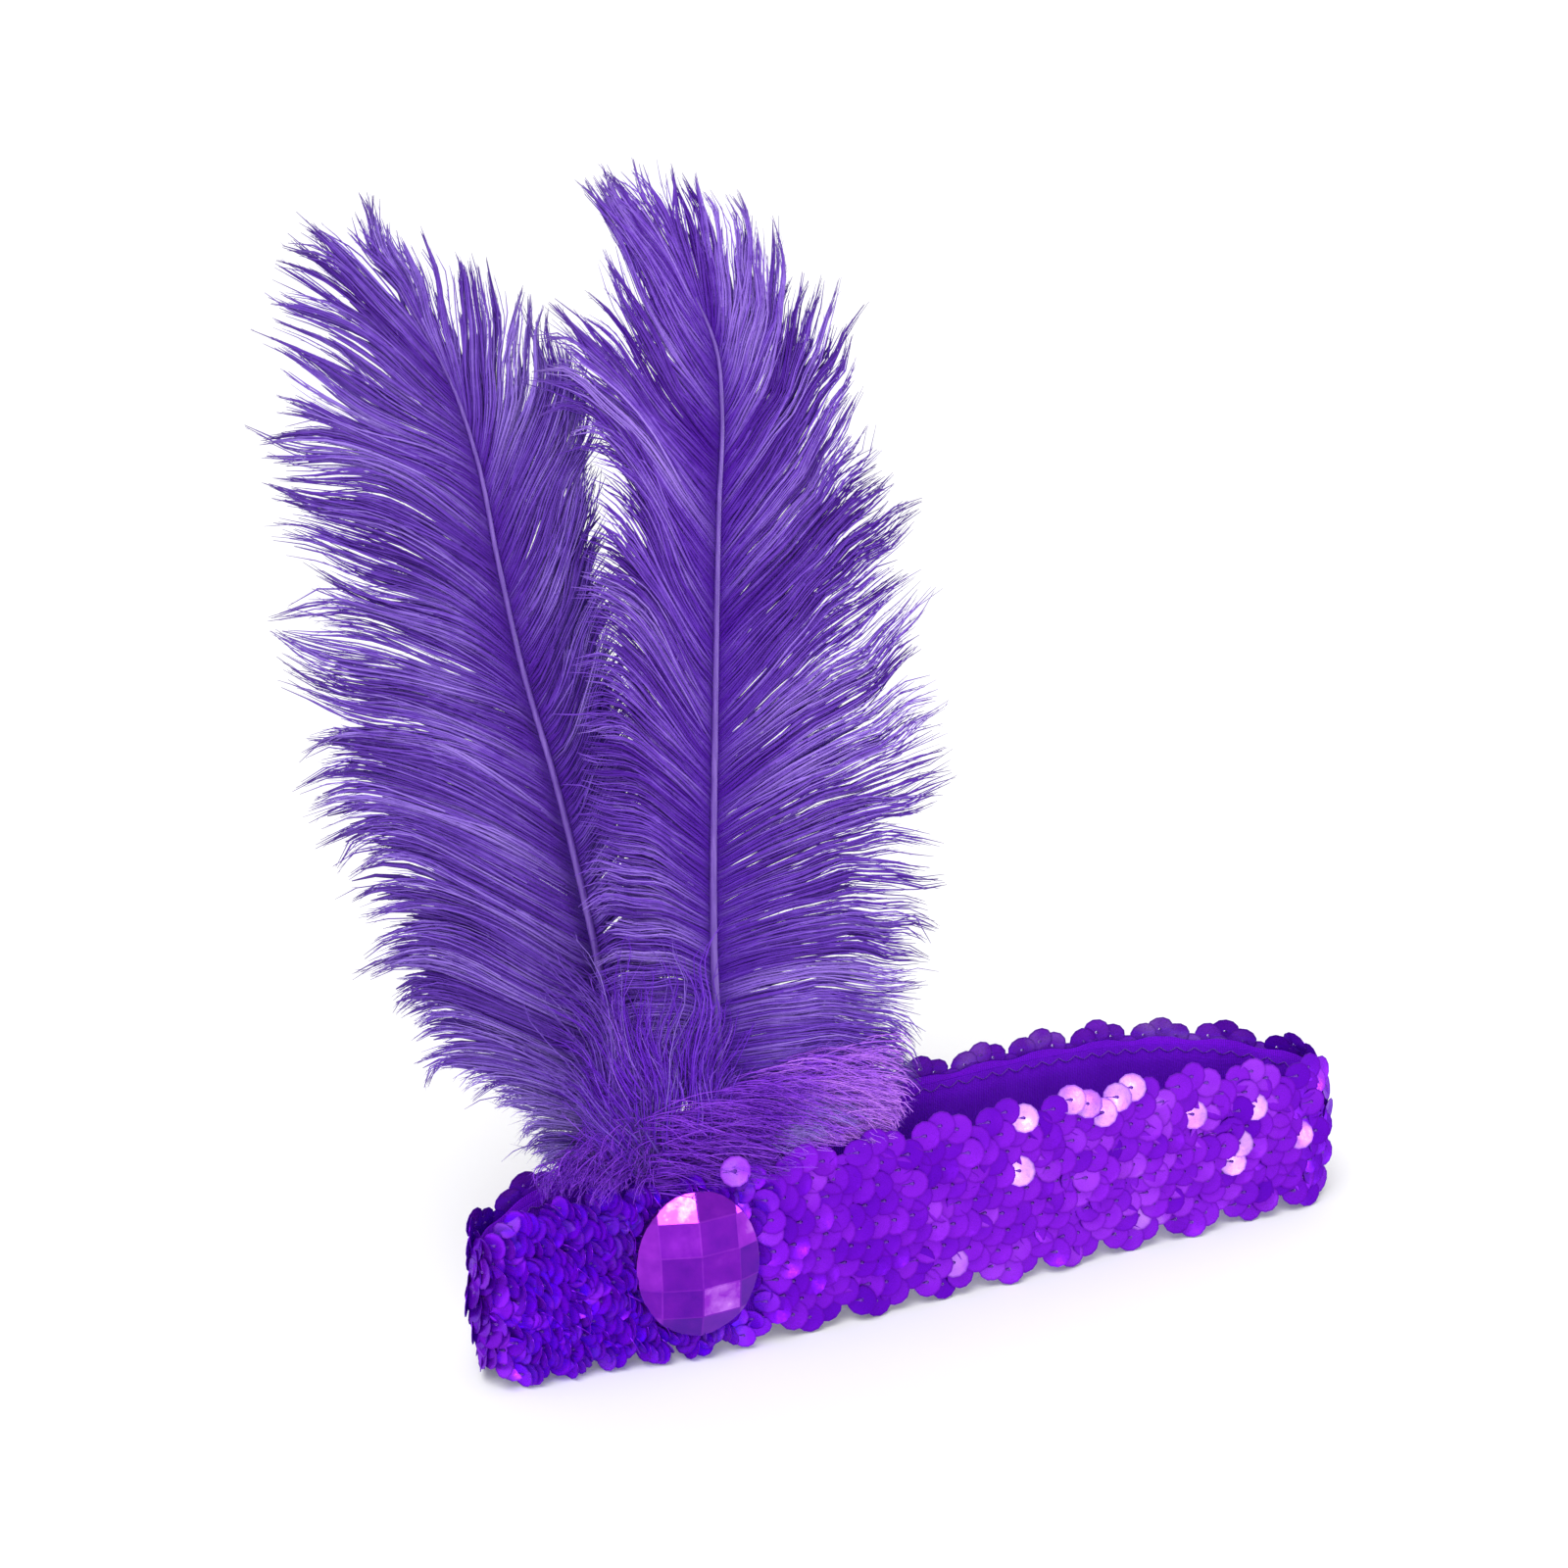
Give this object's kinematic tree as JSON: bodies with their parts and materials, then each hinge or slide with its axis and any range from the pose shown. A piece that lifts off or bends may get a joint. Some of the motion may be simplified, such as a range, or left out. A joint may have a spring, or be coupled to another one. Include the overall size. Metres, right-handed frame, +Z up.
{
  "type": "flapper headband",
  "caption": "Stretch headband worn round the head: a closed loop of scalloped sequin trim on elastic, with an oval faceted gem and upright plumes at the front.",
  "frame": {"origin": "centre of the object's bounding box in plan, on the surface it stands on", "axes": "+X along the loop's long axis, from the plumes' end to the plain end; -Y is the front with the gem; +Z up, along the plumes"},
  "size_m": [0.2674, 0.0474, 0.2805],
  "materials": {
    "sequin_trim": "glossy overlapping sequins",
    "elastic_backing": "matt stretch knit",
    "gem": "polished faceted acrylic",
    "quill_left": "dyed horn, satin",
    "quill_right": "dyed horn, satin",
    "vane_left_outer": "soft dyed barbs",
    "vane_left_inner": "soft dyed barbs",
    "vane_right_inner": "soft dyed barbs",
    "vane_right_outer": "soft dyed barbs",
    "down_tuft": "fluffy dyed down"
  },
  "bodies": {
    "root": {"sequin_trim": "sequin_trim", "elastic_backing": "elastic_backing", "gem": "gem", "quill_left": "quill_left", "quill_right": "quill_right", "vane_left_outer": "vane_left_outer", "vane_left_inner": "vane_left_inner", "vane_right_inner": "vane_right_inner", "vane_right_outer": "vane_right_outer", "down_tuft": "down_tuft"}
  },
  "joints": []
}
